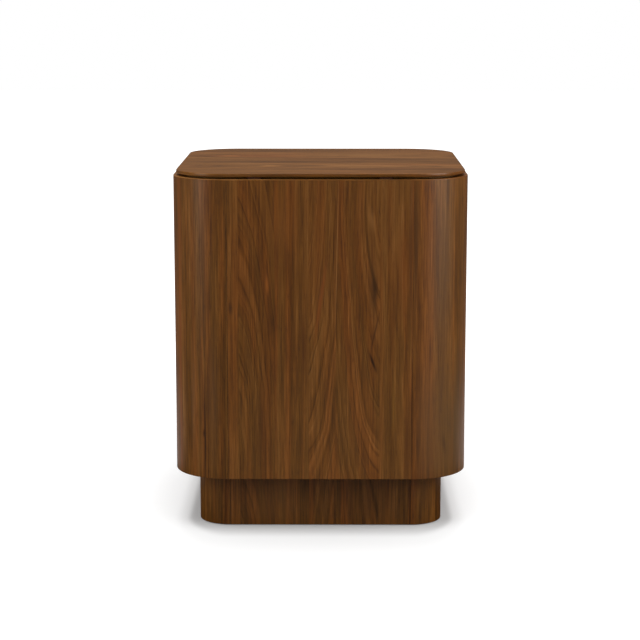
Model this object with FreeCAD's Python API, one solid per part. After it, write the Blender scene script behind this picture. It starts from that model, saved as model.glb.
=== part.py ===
"""Storage side table: a rounded square box on a recessed plinth, closed by a rabbeted lift-off lid.

Millimetres. +Z is up, the front faces -Y, and the origin is on the floor under the middle of the table.
The box is glued up from four flat panels and four bent quarter-round corners, joined by loose splines.
"""

import FreeCAD, Part
import math
import os

# Overall size of the table
width = 450.0
depth = 450.0
height = 550.0
corner_radius = 85.0

# Box walls
wall = 18.0
rim_band_thickness = 1.0
rim_band_arris = 0.7
case_foot_arris = 0.8
seam_bevel = 0.3
bottom_board = 18.0
bottom_rabbet = 9.0

# Plinth
plinth_inset = 36.0
plinth_height = 83.0
plinth_wall = 15.0
plinth_floor_gap = 1.0
plinth_arris = 0.6

# Lid
lid_inset = 4.5
lid_edge = 5.0
lid_reveal = 3.5
lid_board_thickness = 18.0
lid_band_thickness = 2.0
lid_top_arris = 1.2
lid_under_arris = 0.8
lid_plug_clearance = 1.5
lid_plug_arris = 2.0

# Loose splines in the upright joints, of the box and of the plinth
case_spline_thickness = 4.0
case_spline_width = 17.0
plinth_spline_thickness = 3.0
plinth_spline_width = 13.0
spline_end_cover = 6.0

# Plinth cleats and corner blocks
cleat_width = 18.0
cleat_height = 18.0
cleat_end_gap = 20.0
block_size = 52.0
block_height = 40.0

# Pads: felt discs under the corner blocks, and short strips on the rim that the lid rests on
foot_pad_diameter = 30.0
foot_pad_thickness = 3.0
lid_pad_length = 20.0
lid_pad_width = 8.0
lid_pad_spread_share = 0.7

# Countersunk screws up through the cleats, with a hexagonal socket in the head
screw_length = 30.0
screw_shank_diameter = 4.0
screw_head_diameter = 8.0
screw_point_length = 4.0
screw_socket_size = 3.0
screw_socket_depth = 1.6

# Clearances, the overrun of every cutting shape, and how near counts as touching
glue_gap = 0.1
board_gap = 0.2
overrun = 1.0
touch = 0.01

# Levels
case_bottom = plinth_height
lid_top = height
lid_flange_bottom = lid_top - lid_edge
lid_plug_bottom = lid_top - lid_board_thickness
case_top = lid_flange_bottom - lid_reveal
wall_top = case_top - rim_band_thickness
bottom_board_top = case_bottom + bottom_board

# Half sizes in plan. Every outline has the same corner centres, so all rounded corners are concentric.
half_width = width / 2
half_depth = depth / 2
centre_x = half_width - corner_radius
centre_y = half_depth - corner_radius
inner_radius = corner_radius - wall
plinth_radius = corner_radius - plinth_inset
plinth_inner_radius = plinth_radius - plinth_wall
lid_radius = corner_radius - lid_inset
lid_board_radius = lid_radius - lid_band_thickness
lid_plug_radius = inner_radius - lid_plug_clearance

UP = FreeCAD.Vector(0, 0, 1)
ORIGIN = FreeCAD.Vector(0, 0, 0)
FULL_TURN = 360
QUARTER_TURN = 90
HALF_QUARTER_TURN = 45
HEXAGON_SIDES = 6
MM3_PER_CM3 = 1000


def point(x, y, z=0.0):
    return FreeCAD.Vector(x, y, z)


def save(node, shapes):
    """One STEP file per node; identical pieces share a node as separate solids."""
    solids = [solid for shape in shapes for solid in shape.Solids]
    shape = solids[0] if len(solids) == 1 else Part.makeCompound(solids)
    shape.exportStep(f"parts/{node}.step")
    volume = sum(solid.Volume for solid in solids)
    print(f"{node}: {len(solids)} solid(s), {volume / MM3_PER_CM3:.1f} cm3, valid {shape.isValid()}")


def concentric_prism(radius, bottom, top):
    """A rounded rectangle whose corners have this radius about the four shared centres, extruded upwards."""
    half_x = centre_x + radius
    half_y = centre_y + radius
    slant = radius * math.cos(math.radians(HALF_QUARTER_TURN))
    edges = []
    for side_x, side_y in ((1, -1), (1, 1), (-1, 1), (-1, -1)):
        arc_start = point(side_x * half_x, side_y * centre_y)
        arc_middle = point(side_x * (centre_x + slant), side_y * (centre_y + slant))
        arc_end = point(side_x * centre_x, side_y * half_y)
        if side_x * side_y < 0:
            arc_start, arc_end = arc_end, arc_start
        if edges:
            edges.append(Part.LineSegment(edges[-1].EndPoint, arc_start))
        edges.append(Part.Arc(arc_start, arc_middle, arc_end))
    edges.append(Part.LineSegment(edges[-1].EndPoint, edges[0].StartPoint))
    outline = Part.Wire([edge.toShape() for edge in edges])
    prism = Part.Face(outline).extrude(point(0, 0, top - bottom))
    prism.translate(point(0, 0, bottom))
    return prism


def box(low_x, high_x, low_y, high_y, low_z, high_z):
    return Part.makeBox(high_x - low_x, high_y - low_y, high_z - low_z, point(low_x, low_y, low_z))


def edges_at_level(shape, level, keep):
    """The edges of a shape that lie flat at a level and whose middle passes the keep test."""
    found = []
    for edge in shape.Edges:
        bounds = edge.BoundBox
        flat = abs(bounds.ZMin - level) < touch and abs(bounds.ZMax - level) < touch
        if flat and keep(edge.valueAt((edge.FirstParameter + edge.LastParameter) / 2)):
            found.append(edge)
    return found


def anywhere(place):
    return True


def flat_side(length, outer, thickness, bottom, top, arris):
    """A straight side at the front: its outer face at y = -outer, its upright outer edges bevelled."""
    half = length / 2
    outline = [
        point(-half + seam_bevel, -outer),
        point(half - seam_bevel, -outer),
        point(half, -outer + seam_bevel),
        point(half, -outer + thickness),
        point(-half, -outer + thickness),
        point(-half, -outer + seam_bevel),
    ]
    side = Part.Face(Part.makePolygon(outline + outline[:1])).extrude(point(0, 0, top - bottom))
    side.translate(point(0, 0, bottom))

    def on_outside(place):
        return abs(place.y + outer) < touch

    lower_edges = edges_at_level(side, bottom, on_outside)
    return side.makeChamfer(arris, lower_edges)


def round_corner(radius, thickness, bottom, top, arris):
    """A quarter-round shell about the origin, between +X and +Y, its upright outer edges bevelled."""
    bevel_angle = seam_bevel / radius
    inner = radius - thickness
    slant = math.radians(HALF_QUARTER_TURN)
    start = point(radius * math.cos(bevel_angle), radius * math.sin(bevel_angle))
    end = point(radius * math.sin(bevel_angle), radius * math.cos(bevel_angle))
    middle = point(radius * math.cos(slant), radius * math.sin(slant))
    inner_middle = point(inner * math.cos(slant), inner * math.sin(slant))
    seam_start = point(radius - seam_bevel, 0)
    seam_end = point(0, radius - seam_bevel)
    edges = [
        Part.Arc(start, middle, end),
        Part.LineSegment(end, seam_end),
        Part.LineSegment(seam_end, point(0, inner)),
        Part.Arc(point(0, inner), inner_middle, point(inner, 0)),
        Part.LineSegment(point(inner, 0), seam_start),
        Part.LineSegment(seam_start, start),
    ]
    shell = Part.Face(Part.Wire([edge.toShape() for edge in edges])).extrude(point(0, 0, top - bottom))
    shell.translate(point(0, 0, bottom))

    def on_outside(place):
        return abs(math.hypot(place.x, place.y) - radius) < touch

    lower_edges = edges_at_level(shell, bottom, on_outside)
    return shell.makeChamfer(arris, lower_edges)


def turned(shape, quarter_turns):
    copy = shape.copy()
    copy.rotate(ORIGIN, UP, quarter_turns * QUARTER_TURN)
    return copy


def sides():
    """Name, quarter turns from the front, straight length and outer face's distance of the four sides."""
    return (
        ("front", 0, 2 * centre_x, half_depth),
        ("right", 1, 2 * centre_y, half_width),
        ("back", 2, 2 * centre_x, half_depth),
        ("left", 3, 2 * centre_y, half_width),
    )


def corners():
    """Name, quarter turns from the +X +Y corner and centre of the rounding of the four corners."""
    return (
        ("back_right", 0, centre_x, centre_y),
        ("back_left", 1, -centre_x, centre_y),
        ("front_left", 2, -centre_x, -centre_y),
        ("front_right", 3, centre_x, -centre_y),
    )


def placed_corner(shape, quarter_turns, x, y):
    copy = turned(shape, quarter_turns)
    copy.translate(point(x, y))
    return copy


def spline_set(inset, thickness, spline_width, half_thickness, low, high, gap):
    """Eight upright splines, two on each side, centred in the wall at its joints with the corners.

    With a gap above zero they are the grooves that the splines are glued into.
    """
    pieces = []
    for _, quarter_turns, length, outer in sides():
        middle_y = -outer + inset + half_thickness
        for end in (-1, 1):
            joint_x = end * length / 2
            spline = box(
                joint_x - spline_width / 2 - gap,
                joint_x + spline_width / 2 + gap,
                middle_y - thickness / 2 - gap,
                middle_y + thickness / 2 + gap,
                low - gap,
                high + gap,
            )
            pieces.append(turned(spline, quarter_turns))
    return pieces


def screw():
    """A countersunk screw pointing up, its head's underside at the origin."""
    shank = screw_shank_diameter / 2
    head = screw_head_diameter / 2
    profile = [
        point(0, 0, 0),
        point(head, 0, 0),
        point(shank, 0, head - shank),
        point(shank, 0, screw_length - screw_point_length),
        point(0, 0, screw_length),
    ]
    body = Part.Face(Part.makePolygon(profile + profile[:1])).revolve(ORIGIN, UP, FULL_TURN)
    rim = []
    for corner in range(HEXAGON_SIDES + 1):
        angle = math.radians(FULL_TURN * corner / HEXAGON_SIDES)
        rim.append(point(screw_socket_size / 2 * math.cos(angle), screw_socket_size / 2 * math.sin(angle)))
    socket = Part.Face(Part.makePolygon(rim)).extrude(point(0, 0, screw_socket_depth))
    return body.cut(socket)


def screw_hole():
    """The drilled and countersunk hole for the screw, wider all round by the glue gap."""
    shank = screw_shank_diameter / 2 + glue_gap
    head = screw_head_diameter / 2 + glue_gap
    profile = [
        point(0, 0, -overrun),
        point(head, 0, -overrun),
        point(head, 0, 0),
        point(shank, 0, head - shank),
        point(shank, 0, screw_length + glue_gap),
        point(0, 0, screw_length + glue_gap),
    ]
    return Part.Face(Part.makePolygon(profile + profile[:1])).revolve(ORIGIN, UP, FULL_TURN)


def at_screw_places(shape):
    """The shape copied to the four screw places, in the middle of each cleat."""
    pieces = []
    for _, quarter_turns, _, outer in sides():
        one = shape.copy()
        place_y = -outer + plinth_inset + plinth_wall + cleat_width / 2
        one.translate(point(0, place_y, case_bottom - cleat_height))
        pieces.append(turned(one, quarter_turns))
    return pieces


def cut_all(shape, tools):
    near = [tool for tool in tools if tool.BoundBox.intersect(shape.BoundBox)]
    return shape.cut(near) if near else shape


def make_case():
    """The box: flat panels, bent corners, their splines, the rim band and the bottom board."""
    spline_low = bottom_board_top + spline_end_cover
    spline_high = wall_top - spline_end_cover
    groove_size = (0.0, case_spline_thickness, case_spline_width, wall / 2, spline_low, spline_high)
    grooves = spline_set(*groove_size, glue_gap)
    rabbet_radius = inner_radius + bottom_rabbet
    rabbet = concentric_prism(rabbet_radius, case_bottom - overrun, bottom_board_top)

    for name, quarter_turns, length, outer in sides():
        panel = turned(flat_side(length, outer, wall, case_bottom, wall_top, case_foot_arris), quarter_turns)
        save(f"{name}_panel", [cut_all(panel, grooves + [rabbet])])

    shell = round_corner(corner_radius, wall, case_bottom, wall_top, case_foot_arris)
    for name, quarter_turns, x, y in corners():
        corner = placed_corner(shell, quarter_turns, x, y)
        save(f"corner_{name}", [cut_all(corner, grooves + [rabbet])])

    save("case_splines", spline_set(*groove_size, 0.0))

    band = concentric_prism(corner_radius, wall_top, case_top)
    band = band.cut(concentric_prism(inner_radius, wall_top - overrun, case_top + overrun))
    band = band.makeChamfer(rim_band_arris, edges_at_level(band, case_top, anywhere))
    save("rim_band", [band])

    board = concentric_prism(rabbet_radius - board_gap, case_bottom, bottom_board_top)
    save("bottom_board", [cut_all(board, at_screw_places(screw_hole()))])


def make_plinth():
    """The recessed plinth: rails, corners, splines, screwed cleats, corner blocks and felt pads."""
    spline_low = plinth_floor_gap + spline_end_cover
    spline_high = case_bottom - spline_end_cover
    groove_size = (
        plinth_inset,
        plinth_spline_thickness,
        plinth_spline_width,
        plinth_wall / 2,
        spline_low,
        spline_high,
    )
    grooves = spline_set(*groove_size, glue_gap)
    holes = at_screw_places(screw_hole())

    for name, quarter_turns, length, outer in sides():
        rail_face = outer - plinth_inset
        rail = flat_side(length, rail_face, plinth_wall, plinth_floor_gap, case_bottom, plinth_arris)
        save(f"plinth_{name}_rail", [cut_all(turned(rail, quarter_turns), grooves)])

        cleat_back = plinth_wall - rail_face
        half_cleat = length / 2 - cleat_end_gap
        cleat = box(
            -half_cleat,
            half_cleat,
            cleat_back,
            cleat_back + cleat_width,
            case_bottom - cleat_height,
            case_bottom,
        )
        save(f"plinth_{name}_cleat", [cut_all(turned(cleat, quarter_turns), holes)])

    shell = round_corner(plinth_radius, plinth_wall, plinth_floor_gap, case_bottom, plinth_arris)
    block_radius = plinth_inner_radius - board_gap
    block_low = block_radius - block_size
    block_top = foot_pad_thickness + block_height
    block = box(block_low, block_radius, block_low, block_radius, foot_pad_thickness, block_top)
    outer_corner = point(block_radius, block_radius, (foot_pad_thickness + block_top) / 2)
    outer_edge = [edge for edge in block.Edges if edge.CenterOfMass.distanceToPoint(outer_corner) < touch]
    block = block.makeFillet(block_radius, outer_edge)
    pad_centre = (block_radius + block_low) / 2
    pad = Part.makeCylinder(foot_pad_diameter / 2, foot_pad_thickness, point(pad_centre, pad_centre))
    pads = []
    for name, quarter_turns, x, y in corners():
        corner = placed_corner(shell, quarter_turns, x, y)
        save(f"plinth_corner_{name}", [cut_all(corner, grooves)])
        save(f"plinth_block_{name}", [placed_corner(block, quarter_turns, x, y)])
        pads.append(placed_corner(pad, quarter_turns, x, y))
    save("foot_pads", pads)
    save("plinth_splines", spline_set(*groove_size, 0.0))
    save("cleat_screws", at_screw_places(screw()))


def make_lid():
    """The lid: a rabbeted board that drops into the box, its edge band, and the pads that it rests on."""
    plug = concentric_prism(lid_plug_radius, lid_plug_bottom, lid_flange_bottom)
    plug = plug.makeChamfer(lid_plug_arris, edges_at_level(plug, lid_plug_bottom, anywhere))
    board = plug.fuse(concentric_prism(lid_board_radius, lid_flange_bottom, lid_top)).removeSplitter()
    save("lid_board", [board])

    band = concentric_prism(lid_radius, lid_flange_bottom, lid_top)
    band = band.makeChamfer(lid_top_arris, edges_at_level(band, lid_top, anywhere))
    band = band.makeChamfer(lid_under_arris, edges_at_level(band, lid_flange_bottom, anywhere))
    band = band.cut(concentric_prism(lid_board_radius, lid_flange_bottom - overrun, lid_top + overrun))
    save("lid_edge_band", [band])

    # The pads stand on the rim, just outside its inner arris, two to a side
    pads = []
    for _, quarter_turns, length, outer in sides():
        pad_back = -outer + wall - rim_band_arris
        for end in (-1, 1):
            middle_x = end * length / 2 * lid_pad_spread_share
            pad = box(
                middle_x - lid_pad_length / 2,
                middle_x + lid_pad_length / 2,
                pad_back - lid_pad_width,
                pad_back,
                case_top,
                lid_flange_bottom,
            )
            pads.append(turned(pad, quarter_turns))
    save("lid_pads", pads)


os.makedirs("parts", exist_ok=True)
make_case()
make_plinth()
make_lid()
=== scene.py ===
# %% [markdown]
# # A storage side table in walnut veneer
# The table is a square box with bent quarter-round corners on a recessed plinth, closed by a loose lid
# that sits over a dark shadow gap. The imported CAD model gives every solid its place, in metres, with the
# floor at z = 0 and the front facing -Y. This script adds what the eye needs: rounded arrises, smooth
# bends, veneer laid in leaves, felt, zinc and the photographer's light.

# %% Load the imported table
import math

import bmesh
import bpy
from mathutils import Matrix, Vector


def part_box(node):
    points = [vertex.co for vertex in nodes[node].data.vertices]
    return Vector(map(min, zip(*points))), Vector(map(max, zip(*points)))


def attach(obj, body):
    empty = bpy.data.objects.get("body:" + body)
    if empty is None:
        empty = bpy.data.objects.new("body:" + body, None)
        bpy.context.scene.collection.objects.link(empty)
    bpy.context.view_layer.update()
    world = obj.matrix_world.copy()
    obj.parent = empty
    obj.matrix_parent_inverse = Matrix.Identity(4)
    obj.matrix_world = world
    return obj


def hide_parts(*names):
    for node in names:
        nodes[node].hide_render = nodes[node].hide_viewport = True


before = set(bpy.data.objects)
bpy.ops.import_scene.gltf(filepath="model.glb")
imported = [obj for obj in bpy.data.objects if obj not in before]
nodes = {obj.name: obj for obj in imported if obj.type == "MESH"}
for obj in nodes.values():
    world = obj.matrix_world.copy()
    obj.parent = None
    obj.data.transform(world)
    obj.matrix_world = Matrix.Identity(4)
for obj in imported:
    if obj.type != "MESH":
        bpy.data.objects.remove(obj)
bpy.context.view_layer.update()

# %% [markdown]
# ## Sizes
# The pieces made here must meet the CAD pieces exactly, so their sizes are the same named sizes in metres.
# All rounded corners, of box, plinth and lid, share four centres: each outline is the same square of
# centres grown by its own radius, which keeps the shadow lines even round the bends.

# %% Sizes shared with the CAD pieces
MM = 0.001
CENTRE = 140 * MM
CORNER_RADIUS = 85 * MM
HALF = CENTRE + CORNER_RADIUS
WALL = 18 * MM
CASE_LOW = 83 * MM
RIM_LOW = 540.5 * MM
RIM_HIGH = 541.5 * MM
BOTTOM_BOARD_TOP = 101 * MM
BOTTOM_RABBET = 9 * MM
PLINTH_RADIUS = 49 * MM
PLINTH_WALL = 15 * MM
PLINTH_LOW = 1 * MM
LID_RADIUS = 80.5 * MM
LID_BAND = 2 * MM
LID_PLUG_LOW = 533 * MM
LID_LOW = 545 * MM
LID_HIGH = 550 * MM
print("the box is", round(2 * HALF / MM, 1), "mm wide and", round(LID_HIGH / MM, 1), "mm high with its lid")

# %% The four corners and the four sides, each as quarter turns from its first one
CORNERS = {
    "back_right": (0, CENTRE, CENTRE),
    "back_left": (1, -CENTRE, CENTRE),
    "front_left": (2, -CENTRE, -CENTRE),
    "front_right": (3, CENTRE, -CENTRE),
}
SIDES = {"front": 0, "right": 1, "back": 2, "left": 3}
print("corners", sorted(CORNERS), "sides", sorted(SIDES))

# %% [markdown]
# ## Working in edit mode
# Every operator acts on what is selected, so a piece starts with everything deselected, and its edges or
# faces are then picked by where they lie. These helpers do only that: start a piece, pick, and close it
# with its place written into the mesh.


# %% Start a piece and open it for editing
def start():
    if bpy.context.mode != "OBJECT":
        bpy.ops.object.mode_set(mode="OBJECT")
    bpy.ops.object.select_all(action="DESELECT")


def settle(name):
    """Names the new primitive, writes its place into its mesh and opens it for editing, all selected."""
    piece = bpy.context.object
    piece.name = piece.data.name = name
    bpy.ops.object.transform_apply(location=True, rotation=True, scale=True)
    bpy.ops.object.mode_set(mode="EDIT")
    bpy.ops.mesh.select_all(action="SELECT")
    return piece


start()
print("selected before the first piece:", len(bpy.context.selected_objects))


# %% Pick edges or faces by where they lie
TOUCHING = 0.01 * MM
UPRIGHT = 0.9
LEVEL = 0.1


def pick(kind, test):
    """Selects the edges or faces whose middle and direction, or normal, pass the test."""
    bpy.ops.mesh.select_mode(type=kind)
    bpy.ops.mesh.select_all(action="DESELECT")
    mesh = bmesh.from_edit_mesh(bpy.context.edit_object.data)
    for item in mesh.edges if kind == "EDGE" else mesh.faces:
        if kind == "EDGE":
            low, high = (corner.co for corner in item.verts)
            middle, heading = (low + high) / 2, (high - low).normalized()
        else:
            middle, heading = item.calc_center_median(), item.normal
        if test(middle, heading):
            item.select_set(True)
    mesh.select_flush_mode()
    bmesh.update_edit_mesh(bpy.context.edit_object.data)


print("points nearer than", TOUCHING / MM, "mm count as touching")


# %% Close a piece
SMOOTH_BELOW = math.radians(35)


def close(piece):
    bpy.ops.mesh.select_all(action="SELECT")
    bpy.ops.mesh.remove_doubles(threshold=TOUCHING)
    bpy.ops.mesh.normals_make_consistent(inside=False)
    open_edges = sum(not edge.is_manifold for edge in bmesh.from_edit_mesh(piece.data).edges)
    bpy.ops.object.mode_set(mode="OBJECT")
    bpy.ops.object.shade_smooth_by_angle(angle=SMOOTH_BELOW)
    size = [round(side / MM, 2) for side in piece.dimensions]
    print(piece.name, "is", size, "mm with", len(piece.data.polygons), "faces,", open_edges, "edges open")
    return piece


print("edges under", round(math.degrees(SMOOTH_BELOW)), "degrees are shaded smooth")

# %% [markdown]
# ## The bent corners
# The real corner is a stack of thin plies or kerfed board pulled round a quarter-circle form, with the
# veneer pressed on last. A quarter of a cylinder would give the outside only, so the wall's section is
# drawn once as a flat face, cut to its rabbet, and spun through 90 degrees: inside, outside, foot and
# both glue faces then come from one move. The seam edges get the tiny bevel that a maker gives a veneer
# joint, which draws the thin upright line between the bend and the flat panel. Four bends come off one
# form, so one is made for the box and one for the plinth, and each is copied to the other corners.


# %% Draw the section of a wall and cut its rabbet
def wall_section(name, radius, wall, low, high, rabbet_level):
    start()
    middle = (radius - wall / 2, 0, (low + high) / 2)
    bpy.ops.mesh.primitive_plane_add(size=1, location=middle, rotation=(math.pi / 2, 0, 0))
    bpy.context.object.scale = (wall, high - low, 1)
    piece = settle(name)
    if rabbet_level:
        rabbet_x = radius - wall + BOTTOM_RABBET
        bpy.ops.mesh.bisect(plane_co=(0, 0, rabbet_level), plane_no=(0, 0, 1))
        bpy.ops.mesh.select_all(action="SELECT")
        bpy.ops.mesh.bisect(plane_co=(rabbet_x, 0, 0), plane_no=(1, 0, 0))
        pick("FACE", lambda place, _: place.x < rabbet_x and place.z < rabbet_level)
        bpy.ops.mesh.delete(type="FACE")
        bpy.ops.mesh.select_all(action="SELECT")
    return piece


print("the bottom board's rabbet is", round((BOTTOM_BOARD_TOP - CASE_LOW) / MM, 1), "mm high")

# %% Spin the section round its corner
BEND_STEPS = 32
SEAM_BEVEL = 0.3 * MM
CASE_FOOT_ARRIS = 0.8 * MM
PLINTH_FOOT_ARRIS = 0.6 * MM
NEAR_OUTLINE = 0.2 * MM
NEAR_ANGLE = 0.001


def bent_corner(name, radius, wall, low, high, rabbet_level, foot_arris):
    """One bend for the back right corner, still with the corner's centre over the origin."""
    piece = wall_section(name, radius, wall, low, high, rabbet_level)
    bpy.ops.mesh.spin(steps=BEND_STEPS, angle=-math.pi / 2, center=(0, 0, 0), axis=(0, 0, 1))
    bpy.ops.mesh.select_all(action="SELECT")
    bpy.ops.mesh.remove_doubles(threshold=TOUCHING)
    bpy.ops.mesh.normals_make_consistent(inside=False)

    def outside(place):
        return abs(math.hypot(place.x, place.y) - radius) < NEAR_OUTLINE

    def at_a_seam(place):
        angle = abs(math.atan2(place.y, place.x))
        return min(angle, abs(angle - math.pi / 2)) < NEAR_ANGLE

    pick("EDGE", lambda place, way: outside(place) and abs(place.z - low) < TOUCHING and abs(way.z) < LEVEL)
    bpy.ops.mesh.bevel(offset=foot_arris, segments=3, affect="EDGES")
    pick("EDGE", lambda place, way: outside(place) and abs(way.z) > UPRIGHT and at_a_seam(place))
    bpy.ops.mesh.bevel(offset=SEAM_BEVEL, segments=2, affect="EDGES")
    return close(piece)


print("each bend gets", BEND_STEPS, "steps and a bevel of", round(SEAM_BEVEL / MM, 2), "mm at its seams")


# %% Copy a piece to all four corners
def at_corners(first, stem):
    """Copies the back right piece, each copy with its own mesh, and turns all four into their places."""
    pieces = {"back_right": first}
    for place in CORNERS:
        if place not in pieces:
            pieces[place] = first.copy()
            pieces[place].data = first.data.copy()
            pieces[place].name = pieces[place].data.name = f"{stem}_{place}"
            bpy.context.collection.objects.link(pieces[place])
    for place, (quarter, x, y) in CORNERS.items():
        start()
        pieces[place].select_set(True)
        bpy.context.view_layer.objects.active = pieces[place]
        pieces[place].rotation_euler.z = quarter * math.pi / 2
        pieces[place].location = (x, y, 0)
        bpy.ops.object.transform_apply(location=True, rotation=True, scale=True)
    print(len(pieces), "pieces from", first.name)
    return pieces


print("a quarter turn leads from", list(CORNERS)[0], "to", list(CORNERS)[1])

# %% The four bends of the box and the four of the plinth
box_bend = bent_corner("bent_corner_back_right", CORNER_RADIUS, WALL, CASE_LOW, RIM_LOW, BOTTOM_BOARD_TOP,
                       CASE_FOOT_ARRIS)
box_bends = at_corners(box_bend, "bent_corner")
plinth_bend = bent_corner("plinth_bend_back_right", PLINTH_RADIUS, PLINTH_WALL, PLINTH_LOW, CASE_LOW, None,
                          PLINTH_FOOT_ARRIS)
plinth_bends = at_corners(plinth_bend, "plinth_bend")
for place in CORNERS:
    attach(box_bends[place], "case")
    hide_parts(f"corner_{place}")
    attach(plinth_bends[place], "case")
    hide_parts(f"plinth_corner_{place}")
print(len(box_bends), "bends in the box and", len(plinth_bends), "in the plinth")

# %% [markdown]
# ## The rim band and the lid's edge band
# Both are thin strips glued round a board and then sanded until the arris is soft. A ring like this could
# be swept along a curve, but a block is quicker to get exact: bevel its four uprights into the big
# corners, inset the top and bottom by the strip's width, take those faces out and bridge the two holes.
# The last bevel is the maker's sandpaper.


# %% Tell a ring's edges apart
def beyond_corner(place):
    """How far a point lies outside the square of the corner centres."""
    return math.hypot(max(abs(place.x) - CENTRE, 0), max(abs(place.y) - CENTRE, 0))


def along_ring(place, way):
    """True for an edge that runs round the ring, false for one that crosses its flat face."""
    out = Vector((max(abs(place.x) - CENTRE, 0) * math.copysign(1, place.x),
                  max(abs(place.y) - CENTRE, 0) * math.copysign(1, place.y), 0))
    return out.length > 0 and abs(out.normalized().dot(way)) < 0.5


front_middle = Vector((0, -HALF, 0))
print("the front's middle is", round(beyond_corner(front_middle) / MM, 1), "mm beyond the centres,",
      "and an edge there along X runs round the ring:", along_ring(front_middle, Vector((1, 0, 0))))


# %% Make a rounded ring
def rounded_ring(name, radius, width, low, high, top_arris, under_arris, inner_arris=0.0):
    start()
    half = CENTRE + radius
    bpy.ops.mesh.primitive_cube_add(size=1, location=(0, 0, (low + high) / 2))
    bpy.context.object.scale = (2 * half, 2 * half, high - low)
    piece = settle(name)
    pick("EDGE", lambda place, way: abs(way.z) > UPRIGHT)
    bpy.ops.mesh.bevel(offset=radius, segments=BEND_STEPS, affect="EDGES")
    pick("FACE", lambda place, normal: abs(normal.z) > UPRIGHT)
    bpy.ops.mesh.inset(thickness=width, use_even_offset=True)
    bpy.ops.mesh.delete(type="FACE")

    def inside(place):
        in_the_square = max(abs(place.x), abs(place.y)) < half - width / 2
        return in_the_square and beyond_corner(place) < radius - width / 2

    pick("EDGE", lambda place, way: inside(place) and abs(way.z) < LEVEL and along_ring(place, way))
    bpy.ops.mesh.bridge_edge_loops()
    edges = ((high, top_arris, False), (low, under_arris, False), (high, inner_arris, True))
    for level, arris, inner in edges:
        if arris:
            pick("EDGE", lambda place, way: abs(place.z - level) < TOUCHING and abs(way.z) < LEVEL
                 and inside(place) == inner and along_ring(place, way))
            bpy.ops.mesh.bevel(offset=arris, segments=4, affect="EDGES")
    return close(piece)


print("a ring turns each corner in", BEND_STEPS, "steps")

# %% Lay the two bands
RIM_ARRIS = 0.7 * MM
LID_TOP_ARRIS = 1.3 * MM
LID_UNDER_ARRIS = 0.9 * MM
rim_band = rounded_ring("rim_edging", CORNER_RADIUS, WALL, RIM_LOW, RIM_HIGH, RIM_ARRIS, 0, RIM_ARRIS)
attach(rim_band, "case")
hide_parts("rim_band")
lid_band = rounded_ring("lid_edging", LID_RADIUS, LID_BAND, LID_LOW, LID_HIGH, LID_TOP_ARRIS, LID_UNDER_ARRIS)
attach(lid_band, "lid")
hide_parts("lid_edge_band")
print("the shadow gap is", round((LID_LOW - RIM_HIGH) / MM, 2), "mm high")

# %% [markdown]
# ## Felt pads
# A self-adhesive felt disc is punched from a sheet: its rim frays a little and the weight of the table
# presses its sole flat. One disc is made from a short cylinder, with a rounded punch edge and an inset
# sole, then copied to the four corner blocks, each copy with its own mesh.

# %% Punch one disc, placed from its corner's centre
PAD_RADIUS = 15 * MM
PAD_HEIGHT = 3 * MM
PAD_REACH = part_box("foot_pads")[1][0] - PAD_RADIUS
PUNCH_EDGE = 0.6 * MM
SOLE_INSET = 4 * MM
FLAT = 0.999

start()
bpy.ops.mesh.primitive_cylinder_add(vertices=48, radius=PAD_RADIUS, depth=PAD_HEIGHT,
                                    location=(PAD_REACH - CENTRE, PAD_REACH - CENTRE, PAD_HEIGHT / 2))
felt_disc = settle("felt_pad_back_right")
pick("EDGE", lambda place, way: abs(way.z) < LEVEL)
bpy.ops.mesh.bevel(offset=PUNCH_EDGE, segments=3, affect="EDGES")
pick("FACE", lambda place, normal: abs(normal.z) > FLAT)
bpy.ops.mesh.inset(thickness=SOLE_INSET)
close(felt_disc)

# %% One pad under each corner block
felt_pads = at_corners(felt_disc, "felt_pad")
for disc in felt_pads.values():
    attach(disc, "case")
    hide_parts("foot_pads")
print(len(felt_pads), "felt pads,", round(PAD_REACH / MM, 2), "mm from the middle each way")

# %% [markdown]
# ## Colour and nodes
# Colours are written as the sRGB hex values that a colour picker shows, and one function turns them to
# the linear values that the renderer adds up. Another small function adds any node with its settings and
# links, so that each material reads as a list of steps. An input given as a node takes that node's first
# output.


# %% Colour
def linear(hex_colour):
    channels = [int(hex_colour[i:i + 2], 16) / 255 for i in (1, 3, 5)]
    return [c / 12.92 if c <= 0.04045 else ((c + 0.055) / 1.055) ** 2.4 for c in channels] + [1.0]


print("middle grey in linear values:", [round(channel, 3) for channel in linear("#808080")])


# %% Start a material and add a node
MATH = "ShaderNodeMath"
VECTOR_MATH = "ShaderNodeVectorMath"
RANGE = "ShaderNodeMapRange"


def material(name):
    made = bpy.data.materials.new(name)
    made.use_nodes = True
    made.node_tree.nodes.clear()
    return made, made.node_tree


def add(tree, kind, links=None, **settings):
    """Adds a node. Links map an input to a node, a socket or a value; settings are the node's own."""
    node = tree.nodes.new(kind)
    for setting, value in settings.items():
        setattr(node, setting, value)
    for entry, value in (links or {}).items():
        if isinstance(value, bpy.types.Node):
            value = value.outputs[0]
        if isinstance(value, bpy.types.NodeSocket):
            tree.links.new(value, node.inputs[entry])
        else:
            node.inputs[entry].default_value = value
    return node


print("kinds of node used most:", MATH, VECTOR_MATH, RANGE)

# %% Fill a colour ramp
RAMP = "ShaderNodeValToRGB"


def stops(node, entries, steps="LINEAR"):
    """Fills a colour ramp with (place, colour) entries."""
    ramp = node.color_ramp
    ramp.interpolation = steps
    while len(ramp.elements) > 1:
        ramp.elements.remove(ramp.elements[-1])
    for number, (place, colour) in enumerate(entries):
        stop = ramp.elements[0] if number == 0 else ramp.elements.new(place)
        stop.position = place
        stop.color = colour
    return node


print("a ramp is a", RAMP)

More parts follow.
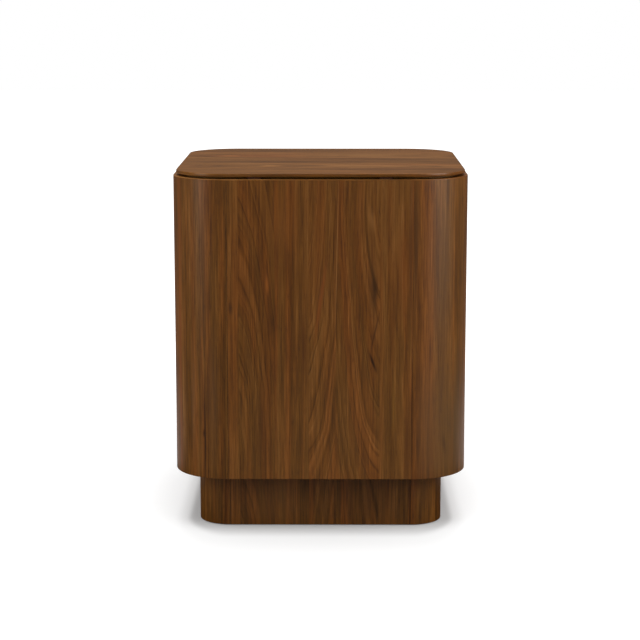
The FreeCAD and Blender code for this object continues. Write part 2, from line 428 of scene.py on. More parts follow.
# %% [markdown]
# ## Wood figure
# Veneer shows a log cut by a flat knife. The growth rings are cones round the pith, so on the sheet a
# ring is a curve of constant distance from a line that dips away behind the surface: far from the pith
# the curves are straight stripes, and over it they close into the pointed arches of cathedral figure. A
# Wave texture would give stripes or circles, but no arches that follow from the cut, so a node group
# measures that distance and reads the rings from it. A cloud is a noise stretched along the grain, and
# its tuple gives its real width and length in millimetres, its detail and its seed. A season is a noise
# that changes with the rings, and its tuple gives its changes per ring and its seed.


# %% Noise along the grain, and noise from ring to ring
NOISE = "ShaderNodeTexNoise"
LEAF_STEP = 37.0
RING_STEP = 53.0


def cloud(group, entry, across_mm, along_mm, detail, seed):
    """Noise from about -0.5 to 0.5, stretched along the grain and different in each leaf."""
    shift = add(group, MATH, {0: entry["Pith"], 1: LEAF_STEP, 2: seed}, operation="MULTIPLY_ADD")
    place = add(group, "ShaderNodeCombineXYZ", {
        "X": add(group, MATH, {0: entry["Across"], 1: 1 / (across_mm * MM)}, operation="MULTIPLY"),
        "Y": add(group, MATH, {0: entry["Along"], 1: 1 / (along_mm * MM)}, operation="MULTIPLY"),
        "Z": add(group, MATH, {0: entry["Third"], 1: 1 / (along_mm * MM), 2: shift},
                 operation="MULTIPLY_ADD"),
    })
    noise = add(group, NOISE, {"Vector": place, "Scale": 1.0, "Detail": detail})
    return add(group, MATH, {0: noise, 1: 0.5}, operation="SUBTRACT")


def season(group, entry, rings, scale, seed):
    """Noise from about -0.5 to 0.5 that changes from ring to ring only."""
    shift = add(group, MATH, {0: entry["Pith"], 1: RING_STEP, 2: seed}, operation="MULTIPLY_ADD")
    place = add(group, MATH, {0: rings, 1: scale, 2: shift}, operation="MULTIPLY_ADD")
    noise = add(group, NOISE, {"W": place, "Scale": 1.0, "Detail": 1.0}, noise_dimensions="1D")
    return add(group, MATH, {0: noise, 1: 0.5}, operation="SUBTRACT")


print("a pith 10 mm further off shifts the noise by", round(10 * MM * LEAF_STEP, 2))

# %% Distance from the pith line, which wanders sideways and dips with the leaf's slope
WANDER = 11 * MM
WANDER_NOISE = (300, 110, 2, 1.3)
SWAY = 10 * MM
SWAY_NOISE = (150, 170, 2, 5.1)


def pith_distance(group, entry):
    aside = add(group, MATH, {0: entry["Across"], 1: entry["Pith"]}, operation="SUBTRACT")
    aside = add(group, MATH, {0: cloud(group, entry, *WANDER_NOISE), 1: WANDER, 2: aside},
                operation="MULTIPLY_ADD")
    depth = add(group, MATH, {0: entry["Along"], 1: entry["Slope"], 2: entry["Depth"]},
                operation="MULTIPLY_ADD")
    depth = add(group, MATH, {0: cloud(group, entry, *SWAY_NOISE), 1: SWAY, 2: depth},
                operation="MULTIPLY_ADD")
    squares = add(group, MATH, {0: depth, 1: depth}, operation="MULTIPLY")
    squares = add(group, MATH, {0: aside, 1: aside, 2: squares}, operation="MULTIPLY_ADD")
    return add(group, MATH, {0: squares}, operation="SQRT")


print("the pith wanders by up to", round(WANDER / 2 / MM, 1), "mm to each side")

# %% Growth rings, a little ragged, and wider in good years
RAGGED = 0.9 * MM
RAGGED_NOISE = (4, 40, 2, 2.2)
FADING_NOISE = (14, 110, 1, 8.8)
YEARS = (0.37, 6.1)
UNEVEN_YEARS = 3.6
FADING_SEASON = (0.9, 2.7)
FADED_BELOW = -0.3
CLEAR_ABOVE = 0.35
RING_PROFILE = [(0.0, 0.55), (0.2, 0.62), (0.62, 0.5), (0.86, 0.2), (0.93, 0.28), (1.0, 0.55)]


def ring_count(group, entry, distance, ring):
    """Counts the rings from the pith outwards."""
    ragged = add(group, MATH, {0: cloud(group, entry, *RAGGED_NOISE), 1: RAGGED, 2: distance},
                 operation="MULTIPLY_ADD")
    rings = add(group, MATH, {0: ragged, 1: 1 / ring}, operation="MULTIPLY")
    return add(group, MATH, {0: season(group, entry, rings, *YEARS), 1: UNEVEN_YEARS, 2: rings},
               operation="MULTIPLY_ADD")


def ring_lines(group, entry, rings, nearness, depth):
    """The thin dark end of each ring, which fades in and out and shows most near the pith."""
    year = add(group, MATH, {0: rings}, operation="FRACT")
    line = stops(add(group, RAMP, {"Fac": year}),
                 [(place, (grey, grey, grey, 1)) for place, grey in RING_PROFILE])
    line = add(group, MATH, {0: line, 1: 0.5}, operation="SUBTRACT")
    line = add(group, MATH, {0: line, 1: depth}, operation="MULTIPLY")
    patches = add(group, MATH, {0: season(group, entry, rings, *FADING_SEASON),
                                1: cloud(group, entry, *FADING_NOISE)}, operation="ADD")
    fading = add(group, RANGE, {"Value": patches, "From Min": FADED_BELOW, "From Max": CLEAR_ABOVE})
    line = add(group, MATH, {0: line, 1: fading}, operation="MULTIPLY")
    return add(group, MATH, {0: line, 1: nearness}, operation="MULTIPLY")


print("a ring is darkest at", min(RING_PROFILE, key=lambda stop: stop[1])[0], "of its width")


# %% Bands of good and bad years near the pith, and plain streaks away from it
BROAD_BANDS = (0.27, 5.3)
FINE_BANDS = (0.7, 3.3)
BROAD_SHARE = 0.6
BAND_SHARE = 0.85
NARROW_STREAKS = (5, 220, 2, 7.9)
WIDE_STREAKS = (30, 380, 1, 8.2)
STREAK_SHARE = 1.3


def bands_and_streaks(group, entry, rings, nearness, depth):
    band = add(group, MATH, {0: season(group, entry, rings, *BROAD_BANDS), 1: BROAD_SHARE,
                             2: season(group, entry, rings, *FINE_BANDS)}, operation="MULTIPLY_ADD")
    band = add(group, MATH, {0: band, 1: BAND_SHARE}, operation="MULTIPLY")
    band = add(group, MATH, {0: band, 1: nearness}, operation="MULTIPLY")
    streak = add(group, MATH, {0: cloud(group, entry, *NARROW_STREAKS),
                               1: cloud(group, entry, *WIDE_STREAKS)}, operation="ADD")
    plainness = add(group, MATH, {0: STREAK_SHARE, 1: nearness}, operation="SUBTRACT")
    band = add(group, MATH, {0: streak, 1: plainness, 2: band}, operation="MULTIPLY_ADD")
    return add(group, MATH, {0: band, 1: depth}, operation="MULTIPLY")


print("streaks are", NARROW_STREAKS[0], "and", WIDE_STREAKS[0], "mm wide")

# %% Fibres and pores, finer on real walnut, and drawn as coarse as they need to show
WIDE_FIBRES = (2.6, 80, 1, 3.7)
NARROW_FIBRES = (1.3, 50, 1, 0.4)
PORES = (1.0, 16, 1, 9.4)
PORE_FROM = 0.08
PORE_TO = 0.2


def fibres(group, entry, depth):
    both = add(group, MATH, {0: cloud(group, entry, *WIDE_FIBRES), 1: cloud(group, entry, *NARROW_FIBRES)},
               operation="ADD")
    return add(group, MATH, {0: both, 1: depth}, operation="MULTIPLY")


def pores(group, entry, depth):
    return add(group, RANGE, {"Value": cloud(group, entry, *PORES), "From Min": PORE_FROM,
                              "From Max": PORE_TO, "To Max": -depth})


print("pores are at most", PORES[0], "mm wide and", PORES[1], "mm long")

# %% The node group that puts the figure together
LEAF_INPUTS = ("Across", "Along", "Third", "Pith", "Depth", "Slope", "Tone", "Warmth")
NEAR_PITH = 60 * MM
FAR_FROM_PITH = 150 * MM
RINGS_LEFT_FAR = 0.35
RED_YEARS = (0.2, 4.4)
RED_STREAKS = (14, 260, 2, 1.9)
RED_FROM = 0.35
RED_TO = 0.78
SHADE_STOPS = (0.0, 0.3, 0.5, 0.7, 1.0)


def wood_figure(name, ring, colours, warm_tint, depths):
    """Depths are how strongly rings, bands, fibres and pores show."""
    group = bpy.data.node_groups.new(name, "ShaderNodeTree")
    for socket in LEAF_INPUTS:
        group.interface.new_socket(socket, in_out="INPUT", socket_type="NodeSocketFloat")
    group.interface.new_socket("Color", in_out="OUTPUT", socket_type="NodeSocketColor")
    group.interface.new_socket("Height", in_out="OUTPUT", socket_type="NodeSocketFloat")
    entry = add(group, "NodeGroupInput").outputs
    ring_depth, band_depth, fibre_depth, pore_depth = depths

    distance = pith_distance(group, entry)
    nearness = add(group, RANGE, {"Value": distance, "From Min": NEAR_PITH, "From Max": FAR_FROM_PITH,
                                  "To Min": 1.0, "To Max": RINGS_LEFT_FAR})
    rings = ring_count(group, entry, distance, ring)
    fibre, pore = fibres(group, entry, fibre_depth), pores(group, entry, pore_depth)
    value = entry["Tone"]
    for part in (ring_lines(group, entry, rings, nearness, ring_depth), fibre,
                 bands_and_streaks(group, entry, rings, nearness, band_depth), pore):
        value = add(group, MATH, {0: value, 1: part}, operation="ADD")
    shade = stops(add(group, RAMP, {"Fac": value}),
                  [(place, linear(colour)) for place, colour in zip(SHADE_STOPS, colours)])

    # Some years and some strips of the log are redder
    redness = add(group, MATH, {0: season(group, entry, rings, *RED_YEARS),
                                1: cloud(group, entry, *RED_STREAKS)}, operation="ADD")
    redness = add(group, MATH, {0: redness, 1: entry["Warmth"]}, operation="ADD")
    warmth = add(group, RANGE, {"Value": redness, "From Min": RED_FROM, "From Max": RED_TO})
    tinted = add(group, "ShaderNodeMix", {"Factor": warmth, 6: shade, 7: warm_tint},
                 data_type="RGBA", blend_type="MULTIPLY")
    height = add(group, MATH, {0: fibre, 1: 0.5, 2: pore}, operation="MULTIPLY_ADD")
    add(group, "NodeGroupOutput", {"Color": tinted.outputs[2], "Height": height})
    print(name, "has", len(group.nodes), "nodes")
    return group


# %% Grow walnut, pine and birch: ring width, colours from dark to light, red tint and depths
walnut_figure = wood_figure(
    "walnut_figure", 3.4 * MM, ("#391F02", "#5A360A", "#714512", "#855520", "#A6743E"), (1.2, 1.0, 0.86, 1),
    (0.84, 0.52, 0.5, 0.14))
pine_figure = wood_figure(
    "pine_figure", 4 * MM, ("#A97C48", "#C99C62", "#D9B27A", "#E0BF8A", "#EBD3A4"), (1.1, 0.97, 0.85, 1),
    (0.6, 0.2, 0.2, 0.0))
birch_figure = wood_figure(
    "birch_figure", 6 * MM, ("#A98A62", "#C9A87A", "#D6BA8F", "#DEC49C", "#E8D4B0"), (1.05, 1.0, 0.95, 1),
    (0.3, 0.15, 0.2, 0.04))

# %% [markdown]
# ## Leaves of veneer
# A panel is never one sheet: the veneer comes in leaves from 40 to 110 mm wide, laid side by side. In the
# photograph the front shows a narrow strip, a leaf of half arches pointing up, a straight-grained one, a
# matched pair whose half arches point down and meet at a fine joint, and a straight-grained one again. A
# ramp with hard steps is the layout table: read at a point's place across the panel, it gives that leaf's
# pith, depth and slope, and a second one its warmth.

# %% Leaves of the front: left edge, pith and depth in mm, slope of the pith, tone and warmth
FRONT_LEAVES = [
    (-250, -40, 60, 0.03, 0.56, 0.5),
    (-124, -134, 38, 0.14, 0.44, 0.5),
    (-70, 150, 60, 0.03, 0.53, 0.47),
    (-19, -30, 36, -0.13, 0.54, 0.53),
    (23, 98, 36, -0.14, 0.51, 0.5),
    (89, -90, 60, 0.03, 0.56, 0.45),
]
print("the front has", len(FRONT_LEAVES), "leaves")

# %% Leaves of the sides, the back and the lid
SIDE_LEAVES = [
    (-250, -230, 60, 0.03, 0.49, 0.5),
    (-96, -106, 40, -0.14, 0.50, 0.53),
    (-20, 150, 60, 0.03, 0.51, 0.47),
    (31, 20, 38, 0.13, 0.49, 0.5),
    (104, -40, 60, 0.03, 0.5, 0.5),
]
BACK_LEAVES = [
    (-250, 220, 60, 0.03, 0.50, 0.5),
    (-88, -16, 38, 0.14, 0.51, 0.5),
    (-26, -36, 38, 0.14, 0.49, 0.5),
    (38, 260, 60, 0.03, 0.49, 0.47),
    (96, -60, 60, 0.03, 0.5, 0.53),
]
LID_LEAVES = [
    (-250, 190, 80, 0.02, 0.51, 0.32),
    (-128, -100, 80, 0.06, 0.55, 0.32),
    (-48, 220, 80, 0.03, 0.48, 0.28),
    (32, 76, 80, -0.06, 0.56, 0.32),
    (118, -160, 80, 0.03, 0.51, 0.32),
]
print("side, back and lid have", len(SIDE_LEAVES), len(BACK_LEAVES), len(LID_LEAVES), "leaves")

# %% Leaves of the bends, measured along the unrolled sheet
LEFT_BEND_LEAVES = [
    (-250, -220, 80, 0.02, 0.51, 0.62),
    (-42, 150, 70, 0.03, 0.52, 0.5),
    (-8, -150, 70, 0.03, 0.49, 0.4),
    (31, 190, 70, 0.03, 0.48, 0.45),
]
RIGHT_BEND_LEAVES = [
    (-250, 120, 70, 0.03, 0.51, 0.7),
    (-36, -190, 80, 0.02, 0.52, 0.4),
    (4, 160, 70, 0.03, 0.49, 0.5),
    (40, -130, 70, 0.03, 0.51, 0.6),
]
print("an unrolled bend of the box is", round(math.pi / 2 * CORNER_RADIUS / MM, 1), "mm wide")

# %% Read the leaf at a place
SPAN = 500 * MM


def leaf_table(tree, across, leaves):
    """Returns the leaf's pith, depth and slope in metres, its tone and its warmth."""
    place = add(tree, MATH, {0: across, 1: 1 / SPAN, 2: 0.5}, operation="MULTIPLY_ADD")
    shapes = []
    warmths = []
    for edge, pith, depth, slope, tone, warmth in leaves:
        left = edge * MM / SPAN + 0.5
        shapes.append((left, (pith * MM / SPAN + 0.5, depth * MM / SPAN, slope + 0.5, tone)))
        warmths.append((left, (warmth, warmth, warmth, 1)))
    shape = stops(add(tree, RAMP, {"Fac": place}), shapes, "CONSTANT")
    warm = stops(add(tree, RAMP, {"Fac": place}), warmths, "CONSTANT")
    red, green, blue = add(tree, "ShaderNodeSeparateColor", {"Color": shape}).outputs
    return {
        "Pith": add(tree, MATH, {0: red, 1: SPAN, 2: -SPAN / 2}, operation="MULTIPLY_ADD"),
        "Depth": add(tree, MATH, {0: green, 1: SPAN}, operation="MULTIPLY"),
        "Slope": add(tree, MATH, {0: blue, 1: 0.5}, operation="SUBTRACT"),
        "Tone": shape.outputs["Alpha"],
        "Warmth": add(tree, "ShaderNodeRGBToBW", {"Color": warm}),
    }


print("the layout covers", round(SPAN / MM), "mm")

# %% [markdown]
# ## Places on a sheet
# Each face has its own sheet with the grain along it: upright on box and plinth, from left to right on the
# lid and along the edge bands. A Mapping node puts each face's own middle at zero and turns it to the
# front, so one material function serves every side. On a bend a radial gradient gives the angle, and angle
# times radius is the place along the unrolled sheet. Plain coordinates would squeeze the figure there as
# it turns away.

# %% Where a point lies on its sheet
GRAIN_AXES = {"up": "XYZ", "sideways": "YZX", "edge": "ZYX"}


def on_sheet(tree, source, where, turn, grain, radius):
    """Returns a point's place across, through and along the grain."""
    place = add(tree, "ShaderNodeMapping", {"Vector": source, "Location": where, "Rotation": (0, 0, turn)},
                vector_type="TEXTURE")
    axes = add(tree, "ShaderNodeSeparateXYZ", {"Vector": place}).outputs
    if radius:
        angle = add(tree, "ShaderNodeTexGradient", {"Vector": place}, gradient_type="RADIAL").outputs["Fac"]
        across = add(tree, MATH, {0: angle, 1: 2 * math.pi * radius, 2: -math.pi * radius},
                     operation="MULTIPLY_ADD")
        return across, None, axes["Z"]
    return [axes[letter] for letter in GRAIN_AXES[grain]]


print("across, through and along the grain:", GRAIN_AXES)

# %% [markdown]
# ## Marks in the wood
# A log has knots, dark streaks of minerals and pale streaks of sapwood, and the eye knows a panel by them.
# Noise can't put them where the photograph shows them, so each is a soft oval listed one by one: a spherical
# gradient stretched to the mark's size, which mixes in its own tint. Lacquer gathers dark in the bevelled
# glue joint between two pieces, and the board's cut edges show fibreboard where no veneer covers them.
# Not every oval is a mark in the wood: a few broad ones are painted shade, light and sheen, on the front and
# on the right front bends.

# %% Soft oval marks
SOFT = "SMOOTHSTEP"


def marked(tree, colour, across, along, marks):
    """Each mark is its place, half width and half height in mm, lean in degrees, tint and strength."""
    for x, z, half_width, half_height, lean, tint, strength in marks:
        place = add(tree, "ShaderNodeCombineXYZ", {"X": across, "Y": along})
        place = add(tree, "ShaderNodeMapping", {
            "Vector": place, "Location": (x * MM, z * MM, 0), "Rotation": (0, 0, math.radians(lean)),
            "Scale": (half_width * MM, half_height * MM, 1)}, vector_type="TEXTURE")
        oval = add(tree, "ShaderNodeTexGradient", {"Vector": place}, gradient_type="SPHERICAL").outputs["Fac"]
        shade = add(tree, RANGE, {"Value": oval, "To Max": strength}, interpolation_type=SOFT)
        colour = add(tree, "ShaderNodeMix", {"Factor": shade, 6: colour, 7: linear(tint)},
                     data_type="RGBA").outputs[2]
    return colour


print("a mark fades outwards by", SOFT)

# %% The dark glue joint
JOINT_TINT = "#1C100A"
JOINT_DEPTH = 0.5
JOINT_FROM = 0.9 * MM
JOINT_TO = 0.3 * MM


def glue_joint(tree, colour, across, joint):
    """Darkens the last part of a sheet before its joint with the neighbouring piece."""
    edge = add(tree, MATH, {0: across}, operation="ABSOLUTE")
    shade = add(tree, RANGE, {"Value": edge, "From Min": joint - JOINT_FROM, "From Max": joint - JOINT_TO,
                              "To Max": JOINT_DEPTH})
    return add(tree, "ShaderNodeMix", {"Factor": shade, 6: colour, 7: linear(JOINT_TINT)},
               data_type="RGBA").outputs[2]


print("the joint darkens over the last", round(JOINT_FROM / MM, 1), "mm")

# %% The bare core
BOARD_FIBRE = 0.7 * MM
CORE_ROUGHNESS = 0.75


def raw_core(tree, source, colour, low, high):
    """Between two levels, shows sawn fibreboard: pale brown felted fibres without any grain."""
    level = add(tree, "ShaderNodeSeparateXYZ", {"Vector": source}).outputs["Z"]
    cut = add(tree, MATH, {0: level, 1: (low + high) / 2, 2: (high - low) / 2}, operation="COMPARE")
    fibre = add(tree, NOISE, {"Vector": source, "Scale": 1 / BOARD_FIBRE, "Detail": 3.0})
    board = stops(add(tree, RAMP, {"Fac": fibre}), [(0.3, linear("#97662F")), (0.7, linear("#B88746"))])
    mixed = add(tree, "ShaderNodeMix", {"Factor": cut, 6: colour, 7: board}, data_type="RGBA")
    return cut, mixed.outputs[2]


print("fibres of the board are", round(BOARD_FIBRE / MM, 1), "mm wide")

# %% [markdown]
# ## Walnut veneer under satin lacquer
# American walnut, sliced, pressed and sprayed with a satin polyurethane: chocolate brown with redder
# streaks, a soft broad gloss and pores that still show through the film. Roughness and bump follow the
# same figure as the colour, because the film sinks into the pores. One function builds the material for
# any face from its sheet, its leaves and its marks, and a seed makes each sheet's noise its own.

# %% Build the veneer for one face
LACQUER_IOR = 1.5
LACQUER_ROUGHNESS = (0.32, 0.42)
PORE_DEPTH = 0.1 * MM
PORE_STRENGTH = 0.25
HEIGHTS = (-0.15, 0.1)
MIDDLE_LEVEL = 310 * MM


def veneer(name, where, turn, leaves, grain="up", radius=None, figure=walnut_figure, joint=None, seed=0.0,
           level=MIDDLE_LEVEL, roughness=LACQUER_ROUGHNESS, marks=(), tone=0.0, core=None):
    """Sliced veneer under satin film: figured colour, a soft gloss, and pores that dull and dent it."""
    made, tree = material(name)
    source = add(tree, "ShaderNodeTexCoord").outputs["Object"]
    across, third, along = on_sheet(tree, source, where, turn, grain, radius)
    along = add(tree, MATH, {0: along, 1: level if grain == "up" else 0.0}, operation="SUBTRACT")
    links = leaf_table(tree, across, leaves)
    links["Across"], links["Along"] = across, along
    links["Tone"] = add(tree, MATH, {0: links["Tone"], 1: tone}, operation="ADD")
    if third or seed:
        links["Third"] = add(tree, MATH, {0: third or 0.0, 1: seed}, operation="ADD")
    wood = add(tree, "ShaderNodeGroup", links, node_tree=figure)
    height = wood.outputs["Height"]

    colour = marked(tree, wood.outputs["Color"], across, along, marks)
    if joint:
        colour = glue_joint(tree, colour, across, joint)
    gloss = add(tree, RANGE, {"Value": height, "From Min": HEIGHTS[0], "From Max": HEIGHTS[1],
                              "To Min": roughness[1], "To Max": roughness[0]})
    if core:
        cut, colour = raw_core(tree, source, colour, *core)
        gloss = add(tree, "ShaderNodeMix", {"Factor": cut, 2: gloss, 3: CORE_ROUGHNESS})
    bump = add(tree, "ShaderNodeBump", {"Height": height, "Strength": PORE_STRENGTH, "Distance": PORE_DEPTH})
    shader = add(tree, "ShaderNodeBsdfPrincipled", {"Base Color": colour, "Roughness": gloss, "Normal": bump,
                                                    "IOR": LACQUER_IOR, "Specular IOR Level": 0.5})
    add(tree, "ShaderNodeOutputMaterial", {"Surface": shader})
    return made


print("lacquer of IOR", LACQUER_IOR, "and roughness", LACQUER_ROUGHNESS)


# %% Put a material on a piece
def dress(piece, made):
    """Puts one material on a piece or CAD node, in every slot it has."""
    if not piece.material_slots:
        piece.data.materials.append(made)
    for slot in piece.material_slots:
        slot.material = made


print("the front panel comes with", len(nodes["front_panel"].material_slots), "material slots")

# %% Marks of the front and of its plinth rail, as the photograph shows them, with painted shade and light on the front
front_marks_and_painted_shading = [
    # The first oval is painted shade that darkens the top of the front, and the second is painted light on
    # its lower part; the rest are marks in the wood.
    (0, 150, 420, 260, 0, "#653302", 0.22),
    (60, -170, 420, 200, 0, "#8A5C2A", 0.12),
    (-60, 172, 30, 85, 4, "#96581C", 0.34),
    (124, 95, 18, 125, 0, "#7A3C08", 0.36),
    (79, 62, 9, 80, 2, "#4A2E0E", 0.6),
    (82, 66, 4.5, 36, 2, "#2A1808", 0.65),
    (79, -44, 3.4, 26, 20, "#241306", 0.9),
    (83, 4, 2.2, 44, -12, "#2A1709", 0.6),
    (-80, 74, 3.6, 24, 3, "#A85F1C", 0.6),
    (77, 171, 8, 30, 12, "#94602A", 0.6),
    (25, 120, 1.3, 200, -1.2, "#A06A34", 0.75),
    (-135, 37, 5, 14, 4, "#3A2210", 0.6),
    (136, 140, 5, 200, 0, "#4A2C12", 0.6),
    (138.8, -120, 2.1, 230, 0, "#1E0A04", 0.62),
    (1, 52, 5, 95, -8.5, "#8E4A16", 0.6),
    (-26, -12, 9, 80, 0, "#563010", 0.5),
    (-88, -156, 15, 100, 0, "#563010", 0.45),
    (111, -115, 5, 70, 0, "#8A5C1C", 0.5),
    (133, -160, 7, 110, 0, "#5A3212", 0.45),
]
plinth_marks = [
    # The first two ovals make the rail lighter over its left half and darker over its right half.
    (-73, 62, 75, 90, 0, "#8A5A26", 0.33),
    (72, 62, 75, 90, 0, "#4A2C0E", 0.28),
    (139, 62, 2.1, 300, 0, "#1E0A04", 0.6),
    (-139, 62, 1.6, 300, 0, "#2A170A", 0.5),
]
print(len(front_marks_and_painted_shading), "marks on the front,", len(plinth_marks), "on its rail")

# %% Veneer the four walls and the four rails
CASE_FOOT = (CASE_LOW - 0.05 * MM, CASE_LOW + 0.05 * MM)
PLINTH_LEVEL = -20 * MM
# The rails and plinth bends get a darker copy of the walnut: painted shade for the shadow under the box's
# overhang.
PLINTH_SHADE_TONE = -0.08
side_leaves = {"front": FRONT_LEAVES, "right": SIDE_LEAVES, "back": BACK_LEAVES, "left": SIDE_LEAVES}
for side, quarter in SIDES.items():
    turn = quarter * math.pi / 2
    out = Vector((math.sin(turn), -math.cos(turn), 0)) * HALF
    wall_veneer = veneer(f"walnut_{side}_panel", out, turn, side_leaves[side], joint=CENTRE,
                         seed=quarter * 1.7, marks=front_marks_and_painted_shading if side == "front" else (), core=CASE_FOOT)
    dress(nodes[f"{side}_panel"], wall_veneer)
    rail_veneer = veneer(f"walnut_{side}_rail", out, turn, side_leaves[side], joint=CENTRE,
                         seed=0.9 + quarter, level=PLINTH_LEVEL, tone=PLINTH_SHADE_TONE,
                         marks=plinth_marks if side == "front" else ())
    dress(nodes[f"plinth_{side}_rail"], rail_veneer)
    print(side, "wall and rail are veneered")

# %% Marks of the bends, and painted sheen and light on the right front ones
bend_marks_and_painted_light = {
    "bent_corner_front_left": [
        (-24, 0, 7, 900, 0, "#8A4A14", 0.75),
        (30, -165, 2.2, 125, 0, "#24140A", 0.9),
        (28, -157, 2.6, 10, 0, "#1E1008", 0.7),
        (9, -110, 8, 130, 0, "#8E6034", 0.4),
        (44, -100, 14, 160, 0, "#86592F", 0.35),
    ],
    "bent_corner_front_right": [
        (-64, 140, 7, 200, 0, "#4A2C12", 0.7),
        # Painted sheen: greyer over the lower half of the bend, where the right gleam runs down.
        (5, -160, 75, 170, 0, "#624829", 0.6),
        (-14, -175, 5, 26, 8, "#3E2A1A", 0.5),
        # Painted sheen: darker and greyer where the upper gleam falls, then paler and greyer lower down
        # nearer the seam.
        (-22, 90, 36, 190, 0, "#4A3826", 0.38),
        (-46, -140, 28, 190, 0, "#79522D", 0.45),
    ],
    "plinth_bend_front_right": [
        # Painted light meant to lighten the top of this bend under the box's overhang; as this bend's sheet
        # is measured from the middle level, it sits near 410 mm, above the plinth, and changes nothing.
        (8, 100, 50, 75, 0, "#8F6538", 0.5),
    ],
}
print("marks on the bends", {name: len(marks) for name, marks in bend_marks_and_painted_light.items()})

# %% Veneer the bends
for place, (quarter, x, y) in CORNERS.items():
    turn = (quarter + 0.5) * math.pi / 2
    leaves = RIGHT_BEND_LEAVES if x * y < 0 else LEFT_BEND_LEAVES
    bend = box_bends[place]
    bend_veneer = veneer(f"walnut_{bend.name}", (x, y, 0), turn, leaves, radius=CORNER_RADIUS,
                         seed=quarter * 2.3 + CORNER_RADIUS * 10, marks=bend_marks_and_painted_light.get(bend.name, ()),
                         core=CASE_FOOT)
    dress(bend, bend_veneer)
    bend = plinth_bends[place]
    bend_veneer = veneer(f"walnut_{bend.name}", (x, y, 0), turn, leaves, radius=PLINTH_RADIUS,
                         seed=quarter * 2.3 + PLINTH_RADIUS * 10, marks=bend_marks_and_painted_light.get(bend.name, ()),
                         tone=PLINTH_SHADE_TONE)
    dress(bend, bend_veneer)
    print("the bends at", place, "are veneered")

# %% Veneer the rim, the lid and the bottom board
LID_RABBET = (LID_PLUG_LOW, LID_LOW + 0.05 * MM)
LID_ROUGHNESS = (0.4, 0.48)
BAND_ROUGHNESS = (0.26, 0.36)
lid_marks = [
    (110, 50, 24, 150, 0, "#8C6232", 0.35),
    (185, -60, 9, 300, 0, "#4A2E14", 0.6),
    (150, 40, 5, 220, 0, "#4A2E14", 0.5),
    (62, 90, 6, 240, 0, "#4F3015", 0.5),
    (-24, -110, 9, 280, 0, "#452810", 0.5),
    (-95, 70, 14, 260, 0, "#8A5C30", 0.4),
    (-150, -40, 6, 320, 0, "#4A2E14", 0.6),
]
band_marks = [(2.5, -95, 30, 95, 0, "#3E2208", 0.4)]
# The rim band takes a lighter copy of the walnut, painted light that brightens its arris line and the shadow
# gap above it.
dress(rim_band, veneer("walnut_rim_edging", (0, 0, RIM_LOW), 0, LID_LEAVES, grain="edge", tone=0.05))
dress(lid_band, veneer("walnut_lid_edging", (0, 0, LID_LOW), 0, LID_LEAVES, grain="edge",
                       roughness=BAND_ROUGHNESS, marks=band_marks))
dress(nodes["lid_board"], veneer("walnut_lid_top", (0, 0, LID_HIGH), 0, LID_LEAVES, grain="sideways",
                                 roughness=LID_ROUGHNESS, tone=0.02, marks=lid_marks, core=LID_RABBET))
dress(nodes["bottom_board"], veneer("walnut_bottom_board", (0, 0, BOTTOM_BOARD_TOP), 0, SIDE_LEAVES,
                                    grain="sideways", seed=4.0))
print(len(lid_marks), "marks on the lid")

# %% [markdown]
# ## Hidden woods
# Cleats and corner blocks are planed pine, left bare because nobody sees them: pale yellow, with clear
# broad rings and hardly any gloss. The loose splines are birch plywood, paler and more even. Both reuse
# the figure group with their own ring width and colours, so that only the species changes.

# %% Pine and birch
PLAIN_LEAVES = [(-250, 60, 40, 0.05, 0.5, 0.5)]
BARE = {"leaves": PLAIN_LEAVES, "where": (0, 0, 0), "roughness": (0.6, 0.7)}
pine_upright = veneer("pine_upright", turn=0, figure=pine_figure, **BARE)
pine_along = veneer("pine_along", turn=0, grain="sideways", figure=pine_figure, **BARE)
pine_across = veneer("pine_across", turn=math.pi / 2, grain="sideways", figure=pine_figure, **BARE)
birch = veneer("birch_plywood", turn=0, figure=birch_figure, **BARE)
for place in CORNERS:
    dress(nodes[f"plinth_block_{place}"], pine_upright)
for side in SIDES:
    dress(nodes[f"plinth_{side}_cleat"], pine_along if side in ("front", "back") else pine_across)
dress(nodes["case_splines"], birch)
dress(nodes["plinth_splines"], birch)
print(len(CORNERS), "blocks and", len(SIDES), "cleats in pine, the splines in birch")

# %% [markdown]
# ## Felt, pads and zinc
# These small things show only from below or with the lid up, and each is a material of its own. A flat
# grey would do for none of them: felt scatters light at its edge, an elastomer has a dull skin, and zinc
# is a bright metal broken up by fine marks. Each gets one noise at its real scale, read by colour, gloss
# or bump.

# %% Felt
FELT_TANGLE = 0.6 * MM
made, tree = material("pressed_wool_felt")
# Pressed wool: tangled fibres with no direction, no gloss, and a soft pale edge from the sheen
source = add(tree, "ShaderNodeTexCoord").outputs["Object"]
tangle = add(tree, NOISE, {"Vector": source, "Scale": 1 / FELT_TANGLE, "Detail": 4.0, "Distortion": 1.2})
colour = stops(add(tree, RAMP, {"Fac": tangle}), [(0.3, linear("#241C17")), (0.7, linear("#4A3D33"))])
bump = add(tree, "ShaderNodeBump", {"Height": tangle, "Strength": 0.6, "Distance": 0.3 * MM})
shader = add(tree, "ShaderNodeBsdfPrincipled", {"Base Color": colour, "Roughness": 0.95, "Normal": bump,
                                                "Sheen Weight": 0.4, "Sheen Roughness": 0.5})
add(tree, "ShaderNodeOutputMaterial", {"Surface": shader})
for disc in felt_pads.values():
    dress(disc, made)
print(made.name, "on", len(felt_pads), "pads")

# %% Brown elastomer
SKIN_GRAIN = 0.8 * MM
made, tree = material("brown_elastomer")
